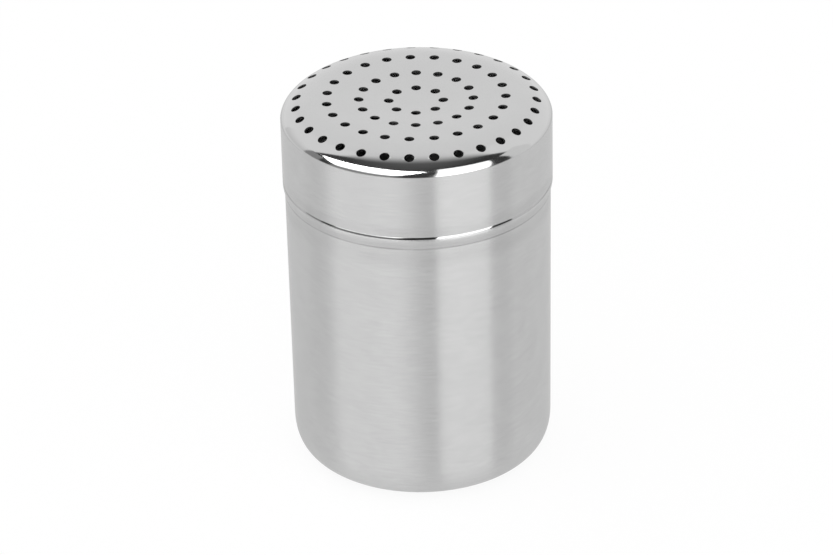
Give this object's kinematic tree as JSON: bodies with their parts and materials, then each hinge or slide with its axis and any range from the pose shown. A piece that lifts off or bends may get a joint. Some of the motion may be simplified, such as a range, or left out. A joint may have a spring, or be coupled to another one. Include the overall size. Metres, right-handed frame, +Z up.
{
  "type": "spice shaker",
  "caption": "Round brushed steel spice shaker: a drawn cup with a rounded base, and a perforated, dished cap that slips over its neck and stops on a bead.",
  "frame": {"origin": "centre of the ring that the cup stands on", "axes": "+Z up along the axis that both pieces are turned about, +X towards the first hole of each ring"},
  "size_m": [0.07, 0.07, 0.1015],
  "materials": {
    "cup_steel": "satin, brushed round the wall",
    "cap_steel": "satin on the top and skirt, mirror polished on the rounded shoulder"
  },
  "bodies": {
    "cup": {"cup": "cup_steel"},
    "cap": {"perforated_cap": "cap_steel"}
  },
  "joints": [
    {"name": "cap_lift", "type": "slide", "parent": "cup", "child": "cap", "axis": [0, 0, 1], "range_m": [0, 0.06]}
  ]
}
